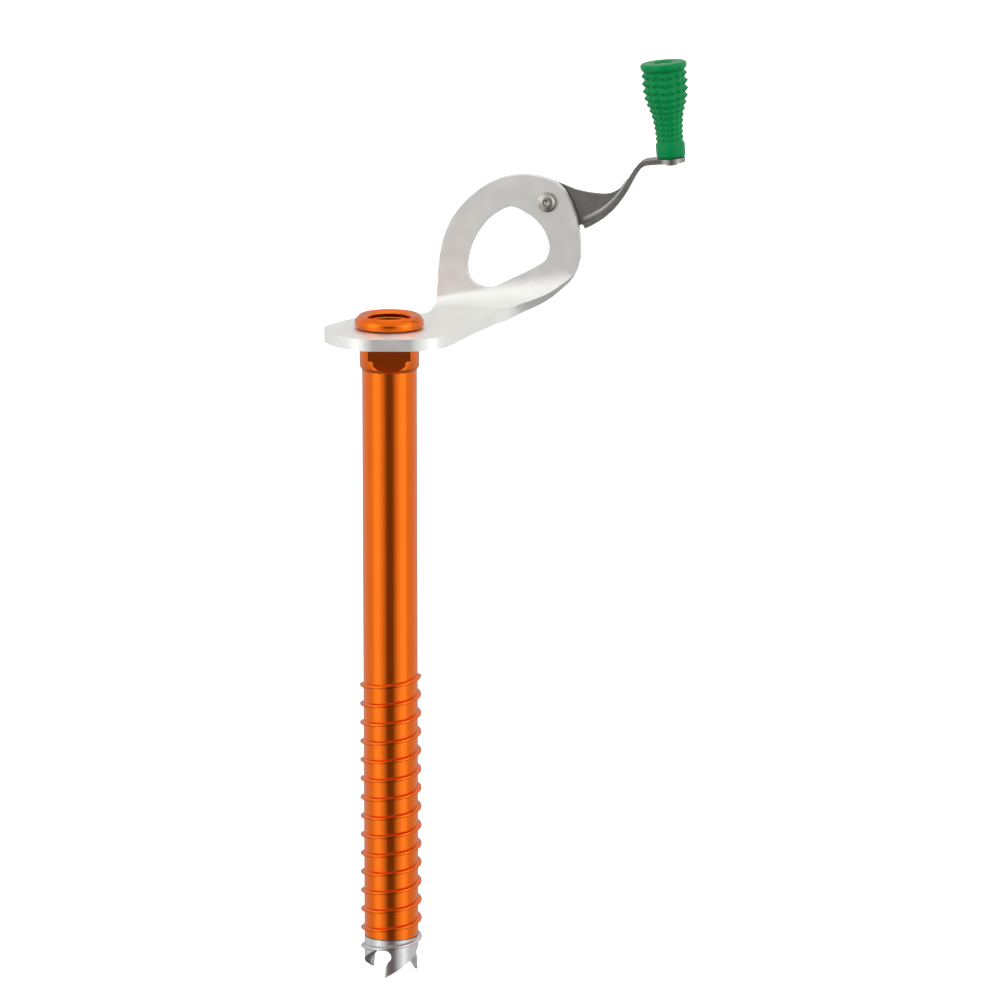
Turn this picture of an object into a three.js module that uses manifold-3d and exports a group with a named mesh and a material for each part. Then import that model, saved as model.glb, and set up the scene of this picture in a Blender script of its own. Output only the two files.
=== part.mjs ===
// Ice screw with a folding crank: a threaded aluminium tube with a steel cutting
// tip, a bent plate hanger clamped under a head ring, and a pressed crank with a
// spinning knob riveted to the hanger's upright lobe.
// Millimetres, +Z up. The origin is on the tube's axis, in the plane of the
// hanger's underside, which is the face that comes to rest on the ice.

import * as THREE from 'three';
import { mergeVertices } from 'three/addons/utils/BufferGeometryUtils.js';
import Module from 'manifold-3d';

const wasm = await Module();
wasm.setup();

// ---------------------------------------------------------------- dimensions

const FIT_GAP = 0.3; // clearance left between pieces that touch

// tube
const TUBE_LENGTH = 212.2; // hanger underside to tooth tips
const TUBE_RADIUS = 8.9;
const BORE_RADIUS = 6.1;
const COLLAR_RADIUS = 9.7;
const COLLAR_HEIGHT = 8.6;
const COLLAR_CHAMFER = 1.1;
const NECK_RADIUS = 8.2;
const KEY_FLAT = 6.8; // axis to each of the two flats that key the hanger
const KEY_FLAT_DEPTH = 5.9; // how far the flats run down into the collar
const KEY_RUNOUT_WIDTH = 10.6;
const KEY_RUNOUT_HEIGHT = 1.5;
const KEY_RUNOUT_RADIUS = 8;

// cutting tip
const TIP_HEIGHT = 13.05; // joint with the tube to the tooth tips
const TIP_STEP = 3.3; // drop of the joint behind the drive shoulder
const SPIGOT_LENGTH = 8;
const SPIGOT_OFFSET = 0.1; // spigot's outside beyond the middle of the tube's wall
const TOOTH_COUNT = 3;
const FIRST_TOOTH_ANGLE = 256; // degrees, counter-clockwise from +X
const GULLET_WIDTH = 6.1;
const GULLET_HEIGHT = 9.3; // tooth tip to the gullet's top
const GULLET_RADIUS = 2.1; // the corner over the tooth
const RELIEF_HEIGHT = 9.2; // tooth tip to the end of the slope behind it
const RELIEF_END = 98; // degrees from the tooth tip to there
const EDGE_LAND = 0.8; // from the outside to where the bore's flare ends
const FLARE_HEIGHT = 7;

// thread
const THREAD_PITCH = 6.315;
const THREAD_HEIGHT = 1.2;
const THREAD_FOOT = 1.9;
const THREAD_CREST = 0.7;
const THREAD_START = 111.7; // hanger underside to the first turn
const THREAD_STEPS = 24; // straight lengths in one turn
const TIP_THREAD_STEPS = 23; // how far the ridge runs round the tip

// hanger
const PLATE = 3.85;
const BEND_APEX = new THREE.Vector2(3, 43.6); // where the bend's fold lines meet
const BEND_SPREAD = THREE.MathUtils.degToRad(13); // half angle of the conical bend
const LOBE_TURN = THREE.MathUtils.degToRad(8.5); // right side of the lobe comes forward
const FOLD_LINES = 7;

// head ring
const RING_RADIUS = 11.25;
const RING_HEIGHT = 4.1;
const RING_CREST_RADIUS = 9.4;
const RING_HOLE_RADIUS = 6.9;
const RING_WALL_HEIGHT = 2.25;
const RING_FOOT = 0.65;
const RING_LIP = 1;
const NECK_IN_RING = 2.3;

// crank, in the lobe's own plane
const PIVOT = new THREE.Vector2(48.7, 34.9);
const SHEET = 1.6;
const SHEET_FILLET = 2.2; // inside the bend between web and flange
const ARM_WIDTH = 7;
const BOSS_RADIUS = 6.5;
const WASHER = 0.5;
const WASHER_RADIUS = 5;
const SPRING_WASHER = 0.7;
const SPRING_WASHER_RADIUS = 3.6;
const RIVET_RADIUS = 1.9;
const RIVET_HEAD_RADIUS = 3.3;
const RIVET_HEAD = 1.1;
const RIVET_DIMPLE_RADIUS = 0.8;
const RIVET_DIMPLE = 0.5;

// knob
const KNOB_CENTRE = new THREE.Vector2(89.3, 49.35); // on the pad's mid-plane
const KNOB_LEAN = THREE.MathUtils.degToRad(5.2);
const PAD_RADIUS = 4.5;
const PIN_RADIUS = 1.5;
const PIN_HEAD_RADIUS = 2.8;
const PIN_HEAD = 1.2;
const PIN_TAIL = 0.6;
const PIN_RECESS = 0.5; // knob top to the pin's head
const KNOB_LENGTH = 31.2;

// ------------------------------------------------------------------- helpers

const degrees = THREE.MathUtils.degToRad;

function toSolid(geometry) {
  const bare = geometry.clone();
  bare.deleteAttribute('normal');
  bare.deleteAttribute('uv');
  const merged = mergeVertices(bare);
  return new wasm.Manifold(new wasm.Mesh({
    numProp: 3,
    vertProperties: new Float32Array(merged.attributes.position.array),
    triVerts: new Uint32Array(merged.index.array),
  }));
}

function toGeometry(solid) {
  const mesh = solid.getMesh();
  const geometry = new THREE.BufferGeometry();
  geometry.setAttribute('position', new THREE.BufferAttribute(mesh.vertProperties, 3));
  geometry.setIndex(new THREE.BufferAttribute(mesh.triVerts, 1));
  return geometry;
}

function join(first, ...others) {
  return toGeometry(others.reduce((solid, next) => solid.add(toSolid(next)), toSolid(first)));
}

function cut(first, ...cutters) {
  return toGeometry(cutters.reduce((solid, next) => solid.subtract(toSolid(next)), toSolid(first)));
}

// Turns a closed profile of [radius, height] points about the Z axis.
function turned(profile, segments = 36) {
  const points = profile.map(([radius, height]) => new THREE.Vector2(radius, height));
  return new THREE.LatheGeometry(points, segments).rotateX(Math.PI / 2);
}

// The closed ring profile of a wall between two radii.
function wall(inner, outer, bottom, top) {
  return [[inner, bottom], [outer, bottom], [outer, top], [inner, top], [inner, bottom]];
}

function rod(radius, bottom, top, segments = 32) {
  return turned([[0, bottom], [radius, bottom], [radius, top], [0, top]], segments);
}

function extruded(shape, depth, curveSegments = 12) {
  return new THREE.ExtrudeGeometry(shape, { depth, bevelEnabled: false, curveSegments });
}

// A closed body through rings of as many points each. A ring runs clockwise when
// it's looked at from the ring before it.
function swept(rings) {
  const count = rings[0].length;
  const last = (rings.length - 1) * count;
  const triangles = [];
  for (let row = 0; row < last; row += count) {
    for (let i = 0; i < count; i += 1) {
      const here = row + i;
      const next = row + ((i + 1) % count);
      triangles.push(here, here + count, next, next, here + count, next + count);
    }
  }
  for (let i = 1; i + 1 < count; i += 1) {
    triangles.push(0, i, i + 1, last, last + i + 1, last + i);
  }
  const geometry = new THREE.BufferGeometry();
  geometry.setAttribute('position', new THREE.Float32BufferAttribute(rings.flat(2), 3));
  geometry.setIndex(triangles);
  return geometry;
}

function polygon(points) {
  return new THREE.Shape(points.map(([x, y]) => new THREE.Vector2(x, y)));
}

function finish(colour, roughness, metalness) {
  return new THREE.MeshStandardMaterial({ color: colour, roughness, metalness });
}

const ORANGE_ANODISED = finish(0xe8641a, 0.3, 0.8);
const SILVER_ANODISED = finish(0xc9c9c4, 0.45, 0.6);
const TOOL_STEEL = finish(0xb9bbbd, 0.3, 1);
const STAINLESS = finish(0x8b8884, 0.4, 1);
const WASHER_NYLON = finish(0x2b2b2d, 0.6, 0);
const GREEN_PLASTIC = finish(0x069a50, 0.45, 0);

function piece(name, geometry, material) {
  const mesh = new THREE.Mesh(geometry, material);
  mesh.name = name;
  return mesh;
}

// -------------------------------------------------------------------- thread

const threadRadius = TUBE_RADIUS + THREAD_HEIGHT;
const threadRoot = TUBE_RADIUS - (TUBE_RADIUS - BORE_RADIUS) / 4; // inside the wall

// A right-hand ridge of wedge section, rooted inside the wall. It winds down from
// one step to another, and step 0 is at the thread's first height, towards +X.
function threadRidge(firstStep, lastStep) {
  const section = [
    [threadRoot, THREAD_FOOT / 2],
    [threadRadius, THREAD_CREST / 2],
    [threadRadius, -THREAD_CREST / 2],
    [threadRoot, -THREAD_FOOT / 2],
  ];
  const rings = [];
  for (let step = firstStep; step <= lastStep; step += 1) {
    const turns = step / THREAD_STEPS;
    const angle = -turns * 2 * Math.PI;
    const height = -THREAD_START - turns * THREAD_PITCH;
    rings.push(section.map(([radius, rise]) => [
      radius * Math.cos(angle),
      radius * Math.sin(angle),
      height + rise,
    ]));
  }
  return swept(rings);
}

// ---------------------------------------------------------------------- tube

const jointHeight = TIP_HEIGHT - TUBE_LENGTH;
// the thread's first step beyond the level part of the joint
const jointStep = Math.ceil((-(jointHeight + THREAD_START) / THREAD_PITCH) * THREAD_STEPS);
const seatHeight = -FIT_GAP;
const spigotRadius = (BORE_RADIUS + TUBE_RADIUS) / 2 + SPIGOT_OFFSET;

// Everything below the joint between tube and tip: level in front, and behind it
// a ramp that falls towards the drive shoulder at the left.
function belowJoint(height) {
  const reach = threadRadius + 1;
  const floor = height - TIP_HEIGHT - 2;
  const level = extruded(polygon([
    [-reach, floor], [reach, floor], [reach, height], [-reach, height],
  ]), reach);
  const slope = TIP_STEP / (2 * TUBE_RADIUS);
  const ramp = extruded(polygon([
    [-reach, floor], [reach, floor],
    [reach, height + slope * (reach - TUBE_RADIUS)],
    [-reach, height - slope * (reach + TUBE_RADIUS)],
  ]), reach);
  level.rotateX(Math.PI / 2);
  ramp.rotateX(Math.PI / 2).translate(0, reach, 0);
  return join(level, ramp);
}

// One of the two flats that key the hanger, with its narrower run-out below.
function keyFlatCutter() {
  const halfRunout = KEY_RUNOUT_WIDTH / 2;
  const bottom = -KEY_FLAT_DEPTH - KEY_RUNOUT_HEIGHT;
  const sweep = Math.asin(halfRunout / KEY_RUNOUT_RADIUS);
  const arcCentre = bottom + KEY_RUNOUT_RADIUS * Math.cos(sweep);
  const side = COLLAR_RADIUS + 2;
  const top = PLATE + RING_HEIGHT + 2;
  const outline = new THREE.Shape();
  outline.moveTo(-side, top);
  outline.lineTo(-side, -KEY_FLAT_DEPTH);
  outline.lineTo(-halfRunout, -KEY_FLAT_DEPTH);
  outline.lineTo(-halfRunout, bottom);
  outline.absarc(0, arcCentre, KEY_RUNOUT_RADIUS, -Math.PI / 2 - sweep, -Math.PI / 2 + sweep);
  outline.lineTo(halfRunout, -KEY_FLAT_DEPTH);
  outline.lineTo(side, -KEY_FLAT_DEPTH);
  outline.lineTo(side, top);
  return extruded(outline, side).rotateX(Math.PI / 2).translate(0, -KEY_FLAT, 0);
}

function tubeGeometry() {
  const foot = jointHeight - TIP_STEP;
  const pocket = jointHeight + SPIGOT_LENGTH + FIT_GAP;
  const neckTop = PLATE + NECK_IN_RING;
  const socket = spigotRadius + FIT_GAP;
  const body = turned([
    [socket, foot],
    [TUBE_RADIUS, foot],
    [TUBE_RADIUS, -COLLAR_HEIGHT - COLLAR_CHAMFER],
    [COLLAR_RADIUS, -COLLAR_HEIGHT],
    [COLLAR_RADIUS, seatHeight],
    [NECK_RADIUS, seatHeight],
    [NECK_RADIUS, neckTop],
    [BORE_RADIUS, neckTop],
    [BORE_RADIUS, pocket],
    [socket, pocket],
    [socket, foot],
  ], THREAD_STEPS);
  const ridge = threadRidge(0, jointStep);
  const frontFlat = keyFlatCutter();
  const backFlat = keyFlatCutter().rotateZ(Math.PI);
  return cut(join(body, ridge), belowJoint(jointHeight), frontFlat, backFlat);
}

// --------------------------------------------------------------- cutting tip

const toothTip = -TUBE_LENGTH;

// The gullet in front of one tooth, cut radially. Its corner over the tooth is
// round and undercuts it, which leaves the tooth hooked.
function gulletCutter() {
  const half = GULLET_WIDTH / 2;
  const top = toothTip + GULLET_HEIGHT;
  const small = GULLET_RADIUS / 2;
  const outline = new THREE.Shape();
  outline.moveTo(-half, toothTip - 1);
  outline.lineTo(1, toothTip - 1);
  outline.lineTo(1, toothTip + 0.4);
  outline.lineTo(1.35, toothTip + 2.4);
  outline.lineTo(1.5, toothTip + 4.3);
  outline.lineTo(2, toothTip + 5.4);
  outline.absarc(half - GULLET_RADIUS, top - GULLET_RADIUS, GULLET_RADIUS, degrees(-25), degrees(90));
  outline.absarc(small - half, top - small, small, degrees(90), degrees(180));
  return extruded(outline, TUBE_RADIUS + 2, 6).rotateX(Math.PI / 2);
}

// The relief behind one tooth tip, which climbs evenly to the next gullet.
function reliefCutter() {
  const rings = [-8, 5, 18, 31, 44, 57, 70, 84, RELIEF_END, RELIEF_END + 10].map((turn) => {
    const high = toothTip + (RELIEF_HEIGHT * Math.min(turn, RELIEF_END)) / RELIEF_END;
    const low = toothTip - 1;
    const corners = [[4, low], [threadRadius + 1, low], [threadRadius + 1, high], [4, high]];
    return corners.map(([radius, height]) => [
      radius * Math.cos(degrees(turn)),
      radius * Math.sin(degrees(turn)),
      height,
    ]);
  });
  return swept(rings);
}

function tipGeometry() {
  const gulletLag = degrees(6);
  const spigotTop = jointHeight + SPIGOT_LENGTH;
  const blank = turned([
    [BORE_RADIUS, toothTip + FLARE_HEIGHT],
    [TUBE_RADIUS - EDGE_LAND, toothTip],
    [TUBE_RADIUS, toothTip],
    [TUBE_RADIUS, spigotTop],
    [BORE_RADIUS, spigotTop],
    [BORE_RADIUS, toothTip + FLARE_HEIGHT],
  ], THREAD_STEPS);
  // the tube's ridge goes on round the tip; above the joint only the spigot stays
  const ridge = threadRidge(jointStep - 4, jointStep + TIP_THREAD_STEPS);
  const shoulder = jointHeight - TIP_STEP - 1;
  const sleeve = turned(wall(spigotRadius, threadRadius + 1, shoulder, spigotTop + 1), THREAD_STEPS);
  const aboveJoint = cut(sleeve, belowJoint(jointHeight - FIT_GAP));
  const cutters = [];
  for (let tooth = 0; tooth < TOOTH_COUNT; tooth += 1) {
    const angle = degrees(FIRST_TOOTH_ANGLE + (tooth * 360) / TOOTH_COUNT);
    // the gullet's cutter points at -Y, which is 270 degrees
    cutters.push(gulletCutter().rotateZ(angle - degrees(270) - gulletLag));
    cutters.push(reliefCutter().rotateZ(angle));
  }
  return cut(join(blank, ridge), aboveJoint, ...cutters);
}

// ------------------------------------------------------------------ head ring

function ringGeometry() {
  const foot = PLATE + FIT_GAP;
  const top = foot + RING_HEIGHT;
  const socketTop = PLATE + NECK_IN_RING + FIT_GAP;
  const socket = NECK_RADIUS + FIT_GAP;
  return turned([
    [socket, foot],
    [RING_RADIUS - RING_FOOT, foot],
    [RING_RADIUS, foot + RING_FOOT],
    [RING_RADIUS, foot + RING_WALL_HEIGHT],
    [RING_CREST_RADIUS, top],
    [RING_HOLE_RADIUS, top - RING_LIP],
    [RING_HOLE_RADIUS, socketTop],
    [socket, socketTop],
    [socket, foot],
  ]);
}

// --------------------------------------------------------------------- hanger

// The bend is a cone whose fold lines all start at the apex. Its last fold line
// brings the lobe upright.
const bendAngle = Math.acos(-(Math.tan(BEND_SPREAD) ** 2));
const foldStart = -LOBE_TURN - Math.asin(Math.tan(BEND_SPREAD));
const foldEnd = foldStart + bendAngle * Math.sin(BEND_SPREAD);
const up = new THREE.Vector3(0, 0, 1);
const firstFold = new THREE.Vector3(Math.cos(foldStart), Math.sin(foldStart), 0);
const coneAxis = firstFold.clone().multiplyScalar(Math.cos(BEND_SPREAD))
  .addScaledVector(up, Math.sin(BEND_SPREAD));
const lobeAlong = new THREE.Vector3(Math.cos(LOBE_TURN), -Math.sin(LOBE_TURN), 0);
const lobeFront = new THREE.Vector3().crossVectors(lobeAlong, up);
const apex = new THREE.Vector3(BEND_APEX.x, BEND_APEX.y, PLATE);
const lastFold = firstFold.clone().applyAxisAngle(coneAxis, bendAngle);
const lastFoldRise = Math.asin(lastFold.z);

// Where a point of the finished lobe lies on the flat blank.
function onBlank(along, height) {
  return new THREE.Vector2(along, height)
    .rotateAround(new THREE.Vector2(), foldEnd - lastFoldRise)
    .add(BEND_APEX);
}

// Takes a point of the flat blank to its place on the bent hanger.
function bend(point) {
  const reach = Math.hypot(point.x - BEND_APEX.x, point.y - BEND_APEX.y);
  const angle = Math.atan2(point.y - BEND_APEX.y, point.x - BEND_APEX.x);
  const depth = PLATE - point.z;
  if (angle <= foldStart) {
    return point;
  }
  if (angle >= foldEnd) {
    const rise = angle - foldEnd + lastFoldRise;
    return point.copy(apex)
      .addScaledVector(lobeAlong, reach * Math.cos(rise))
      .addScaledVector(up, reach * Math.sin(rise))
      .addScaledVector(lobeFront, -depth);
  }
  const turn = (angle - foldStart) / Math.sin(BEND_SPREAD);
  const fold = firstFold.clone().applyAxisAngle(coneAxis, turn);
  const normal = up.clone().applyAxisAngle(coneAxis, turn);
  return point.copy(apex).addScaledVector(fold, reach).addScaledVector(normal, -depth);
}

// Splits every triangle that crosses the upright plane through the apex at this
// angle, so that the plate can fold there. Triangles are lists of three points.
function splitAtFold(triangles, angle) {
  const side = (p) => {
    const distance = (p.y - BEND_APEX.y) * Math.cos(angle) - (p.x - BEND_APEX.x) * Math.sin(angle);
    return Math.abs(distance) < 1e-5 ? 0 : distance;
  };
  const crossing = (a, b) => {
    // the same end goes first whichever triangle asks, so that both get one point
    const [from, to] = a.x + 3 * a.y + 7 * a.z < b.x + 3 * b.y + 7 * b.z ? [a, b] : [b, a];
    return from.clone().lerp(to, side(from) / (side(from) - side(to)));
  };
  const half = (triangle, sign) => {
    const kept = [];
    triangle.forEach((p, i) => {
      const next = triangle[(i + 1) % 3];
      if (side(p) * sign >= 0) kept.push(p);
      if (side(p) * side(next) < 0) kept.push(crossing(p, next));
    });
    return kept;
  };
  const result = [];
  for (const triangle of triangles) {
    const sides = triangle.map(side);
    if (Math.min(...sides) >= 0 || Math.max(...sides) <= 0) {
      result.push(triangle);
      continue;
    }
    for (const sign of [1, -1]) {
      const part = half(triangle, sign);
      for (let i = 1; i + 1 < part.length; i += 1) {
        result.push([part[0], part[i], part[i + 1]]);
      }
    }
  }
  return result;
}

function asPoints(rows) {
  return rows.map(([x, y]) => new THREE.Vector2(x, y));
}

// The outline of the flat blank: the base lobe round the tube in its own place,
// and the upright lobe in the lobe's plane, laid flat.
function blankShape() {
  const base = [[12, -19.8], [16.6, -16.9], [19.7, -11.5], [22.9, -2.6], [26.2, 6.2], [29.5, 14.4],
    [32.6, 21.9], [35.2, 27.6], [38.4, 31.6], [42.6, 33.6], [47.2, 34.5], [52, 35.7]];
  const lobe = [[53.2, 7.2], [56.9, 10.3], [59.4, 15.4], [59.5, 22.5], [58.2, 30.2],
    [54.2, 38.9], [48.8, 42.4], [41, 43.6], [32.6, 42.1], [24.6, 37.3],
    [18.4, 30.8], [14.6, 23.2], [12.8, 14.4], [12.2, 4.8]];
  const rear = [[14.4, 40.5], [13.6, 35.5], [13, 30.4], [11.3, 26.1], [7, 24.2], [0, 24.2],
    [-6, 22.9], [-10.2, 19.5]];
  const left = [[-20.1, 4.4], [-21, 1.4]];
  const front = [[-20.4, -6.2], [-17.6, -12.4], [-12.8, -17.9], [-8.6, -20.4], [-4.5, -21.1]];
  const shape = new THREE.Shape();
  shape.moveTo(-4.5, -21.1);
  shape.lineTo(6.5, -21.1);
  const bentPart = lobe.map(([along, height]) => onBlank(along, height));
  shape.splineThru([...asPoints(base), ...bentPart, ...asPoints(rear)]);
  shape.splineThru(asPoints(left));
  shape.lineTo(-21, -3.6);
  shape.splineThru(asPoints(front));
  return shape;
}

// The hole that fits over the tube's keyed neck.
function keyHole() {
  const radius = NECK_RADIUS + FIT_GAP;
  const half = Math.asin((KEY_FLAT + FIT_GAP) / radius);
  const hole = new THREE.Path();
  hole.absarc(0, 0, radius, -half, half);
  hole.absarc(0, 0, radius, Math.PI - half, Math.PI + half);
  hole.closePath();
  return hole;
}

// The eye for the carabiner, wide at the bottom and narrow at the top.
function eyeHole() {
  const outline = [[36.9, 33.1], [41.3, 31.4], [45.6, 28.3], [48.5, 23.9], [49.5, 19.2], [47.8, 15.1],
    [43.3, 12.1], [38.2, 9.5], [32.6, 7], [27.6, 5.9], [23.6, 7.6], [22.1, 12.2], [23.3, 19.2],
    [26.7, 25.5], [31.6, 30.6]];
  const points = outline.map(([along, height]) => onBlank(along, height));
  const rim = new THREE.CatmullRomCurve3(points.map((p) => new THREE.Vector3(p.x, p.y, 0)), true);
  return new THREE.Path(rim.getPoints(32).slice(1).map((p) => new THREE.Vector2(p.x, p.y)));
}

function hangerGeometry() {
  const shape = new THREE.Shape(blankShape().getPoints(2));
  const rivetHole = new THREE.Path();
  const pivot = onBlank(PIVOT.x, PIVOT.y);
  rivetHole.absarc(pivot.x, pivot.y, RIVET_RADIUS + FIT_GAP, 0, 2 * Math.PI);
  shape.holes.push(
    new THREE.Path(keyHole().getPoints(8)),
    eyeHole(),
    new THREE.Path(rivetHole.getPoints(12)),
  );
  const flat = extruded(shape, PLATE).attributes.position;
  let triangles = [];
  for (let i = 0; i < flat.count; i += 3) {
    triangles.push([0, 1, 2].map((k) => new THREE.Vector3().fromBufferAttribute(flat, i + k)));
  }
  for (let line = 0; line <= FOLD_LINES; line += 1) {
    triangles = splitAtFold(triangles, foldStart + ((foldEnd - foldStart) * line) / FOLD_LINES);
  }
  const points = triangles.flat().map((p) => bend(p.clone()));
  return mergeVertices(new THREE.BufferGeometry().setFromPoints(points));
}

// ---------------------------------------------------------------------- crank

// The crank's pieces stand in the lobe's frame: X along the lobe, Y up and Z out
// of its front face. Each depth below is a Z in that frame.
const webFront = -PLATE - WASHER - 2 * FIT_GAP;
const webBack = webFront - SHEET;
const armMiddle = webBack + ARM_WIDTH / 2;
const springBack = webBack - FIT_GAP - SPRING_WASHER;

// The arm's middle line, from its stop beside the lobe to the pad's centre.
function armLine() {
  const rise = new THREE.Vector2(Math.cos(KNOB_LEAN), Math.sin(KNOB_LEAN));
  const padStart = KNOB_CENTRE.clone().addScaledVector(rise, -6.6);
  return new THREE.SplineCurve([
    ...asPoints([[60.9, 27.1], [64.3, 28.9], [68, 31.5], [71.5, 35.1], [74.2, 39.2], [76.3, 43.2],
      [78.5, 46.6], [80.3, 48.2]]),
    padStart,
    KNOB_CENTRE,
  ]);
}

function armShape() {
  const line = armLine();
  const steps = 27;
  const upper = [];
  const lower = [];
  for (let i = 0; i <= steps; i += 1) {
    const point = line.getPoint(i / steps);
    const tangent = line.getTangent(i / steps);
    const across = new THREE.Vector2(-tangent.y, tangent.x).multiplyScalar(SHEET / 2);
    upper.push(point.clone().add(across));
    lower.push(point.clone().sub(across));
  }
  return new THREE.Shape([...lower, ...upper.reverse()]);
}

// The web that carries the pivot, down to the arm's middle line.
function webShape() {
  const line = armLine();
  const shape = new THREE.Shape();
  shape.absarc(PIVOT.x, PIVOT.y, BOSS_RADIUS, degrees(62), degrees(282));
  shape.lineTo(57.6, 26.4);
  shape.lineTo(60.9, 27.1);
  for (let i = 1; i <= 14; i += 1) {
    const point = line.getPoint(i / 27);
    shape.lineTo(point.x, point.y);
  }
  shape.splineThru(asPoints([[69.3, 37.6], [63.1, 37.4], [57.4, 38.4]]));
  return shape;
}

// The rounded inside of the bend between the web and the arm's flange, which
// dies away where the web ends.
function bendFillet() {
  const line = armLine();
  const stations = 15;
  const arcSteps = 5;
  const rings = [];
  for (let i = 0; i < stations; i += 1) {
    const point = line.getPoint(i / 27);
    const tangent = line.getTangent(i / 27);
    const radius = SHEET_FILLET * Math.sqrt(1.05 - i / (stations - 1));
    const corner = point.clone().add(new THREE.Vector2(-tangent.y, tangent.x).multiplyScalar(SHEET / 2));
    const place = (inward, forward) => [
      corner.x - tangent.y * inward,
      corner.y + tangent.x * inward,
      webFront + forward,
    ];
    const ring = [place(-SHEET / 3, -SHEET / 3)];
    for (let step = 0; step <= arcSteps; step += 1) {
      const angle = ((step / arcSteps) * Math.PI) / 2;
      const inward = step === 0 ? -SHEET / 3 : radius * (1 - Math.cos(angle));
      const forward = step === arcSteps ? -SHEET / 3 : radius * (1 - Math.sin(angle));
      ring.push(place(inward, forward));
    }
    rings.push(ring);
  }
  return swept(rings);
}

function crankGeometry() {
  const web = extruded(webShape(), SHEET, 8).translate(0, 0, webBack);
  const arm = extruded(armShape(), ARM_WIDTH).translate(0, 0, webBack);
  const pad = rod(PAD_RADIUS, -SHEET / 2, SHEET / 2).rotateX(-Math.PI / 2)
    .rotateZ(KNOB_LEAN).translate(KNOB_CENTRE.x, KNOB_CENTRE.y, armMiddle);
  const pinHole = rod(PIN_RADIUS + FIT_GAP, -SHEET, SHEET, 24).rotateX(-Math.PI / 2)
    .rotateZ(KNOB_LEAN).translate(KNOB_CENTRE.x, KNOB_CENTRE.y, armMiddle);
  const rivetHole = rod(RIVET_RADIUS + FIT_GAP, webBack - 1, webFront + 1, 24)
    .translate(PIVOT.x, PIVOT.y, 0);
  return cut(join(web, arm, pad, bendFillet()), pinHole, rivetHole);
}

function rivetGeometry() {
  const front = FIT_GAP;
  const back = springBack - FIT_GAP;
  return turned([
    [0, back - RIVET_HEAD],
    [RIVET_HEAD_RADIUS - 0.5, back - RIVET_HEAD],
    [RIVET_HEAD_RADIUS, back - RIVET_HEAD / 2],
    [RIVET_HEAD_RADIUS, back],
    [RIVET_RADIUS, back],
    [RIVET_RADIUS, front],
    [RIVET_HEAD_RADIUS, front],
    [RIVET_HEAD_RADIUS, front + 0.25],
    [RIVET_HEAD_RADIUS * 0.72, front + RIVET_HEAD * 0.85],
    [RIVET_DIMPLE_RADIUS + 0.5, front + RIVET_HEAD],
    [RIVET_DIMPLE_RADIUS, front + RIVET_HEAD - 0.15],
    [0, front + RIVET_HEAD - RIVET_DIMPLE],
  ], 24).translate(PIVOT.x, PIVOT.y, 0);
}

function washerGeometry(radius, bottom, top) {
  return turned(wall(RIVET_RADIUS + FIT_GAP, radius, bottom, top), 24)
    .translate(PIVOT.x, PIVOT.y, 0);
}

// ----------------------------------------------------------------------- knob

const knobFoot = SHEET / 2 + FIT_GAP;
const knobTop = knobFoot + KNOB_LENGTH;
const pinHeadFoot = knobTop - PIN_RECESS - PIN_HEAD;

// Stands a piece turned about Z on the pad, along the knob's leaning axis.
function onPad(geometry) {
  return geometry.rotateX(-Math.PI / 2).rotateZ(KNOB_LEAN)
    .translate(KNOB_CENTRE.x, KNOB_CENTRE.y, armMiddle);
}

function knobGeometry() {
  const bore = PIN_RADIUS + FIT_GAP;
  const recess = PIN_HEAD_RADIUS + FIT_GAP;
  const recessFoot = pinHeadFoot - FIT_GAP;
  const outside = [[4.4, 0], [4.8, 0.8], [4.8, 5], [4.7, 7.6], [4.9, 10.4], [5.1, 12.4], [5.4, 14.3],
    [6, 16.2], [6.7, 18], [7.3, 20], [7.65, 22.5], [7.75, 25], [7.65, 28], [7.6, KNOB_LENGTH - 0.9],
    [7, KNOB_LENGTH]];
  return onPad(turned([
    [bore, knobFoot],
    ...outside.map(([radius, height]) => [radius, knobFoot + height]),
    [recess, knobTop],
    [recess, recessFoot],
    [bore, recessFoot],
    [bore, knobFoot],
  ], 26));
}

function knobPinGeometry() {
  const tailTop = -SHEET / 2 - FIT_GAP;
  return onPad(turned([
    [0, tailTop - PIN_TAIL],
    [PIN_RADIUS + 0.3, tailTop - PIN_TAIL],
    [PIN_RADIUS + 0.7, tailTop - PIN_TAIL / 2],
    [PIN_RADIUS + 0.7, tailTop],
    [PIN_RADIUS, tailTop],
    [PIN_RADIUS, pinHeadFoot],
    [PIN_HEAD_RADIUS, pinHeadFoot],
    [PIN_HEAD_RADIUS, pinHeadFoot + PIN_HEAD * 0.6],
    [PIN_HEAD_RADIUS - 0.6, pinHeadFoot + PIN_HEAD],
    [0, pinHeadFoot + PIN_HEAD],
  ], 24));
}

// ------------------------------------------------------------------- assembly

const lobeFrame = new THREE.Group();
lobeFrame.quaternion.setFromRotationMatrix(new THREE.Matrix4().makeBasis(lobeAlong, up, lobeFront));
lobeFrame.position.copy(apex);
lobeFrame.add(
  piece('crank_arm', crankGeometry(), STAINLESS),
  piece('crank_rivet', rivetGeometry(), STAINLESS),
  piece('friction_washer', washerGeometry(WASHER_RADIUS, webFront + FIT_GAP, -PLATE - FIT_GAP), WASHER_NYLON),
  piece('spring_washer', washerGeometry(SPRING_WASHER_RADIUS, springBack, webBack - FIT_GAP), STAINLESS),
  piece('knob', knobGeometry(), GREEN_PLASTIC),
  piece('knob_pin', knobPinGeometry(), STAINLESS),
);

const iceScrew = new THREE.Group();
iceScrew.add(
  piece('tube', tubeGeometry(), ORANGE_ANODISED),
  piece('cutting_tip', tipGeometry(), TOOL_STEEL),
  piece('head_ring', ringGeometry(), ORANGE_ANODISED),
  piece('hanger', hangerGeometry(), SILVER_ANODISED),
  lobeFrame,
);

export default iceScrew;
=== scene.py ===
"""Finished look of a tubular ice screw with a bent hanger and a folding crank."""

import math

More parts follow.
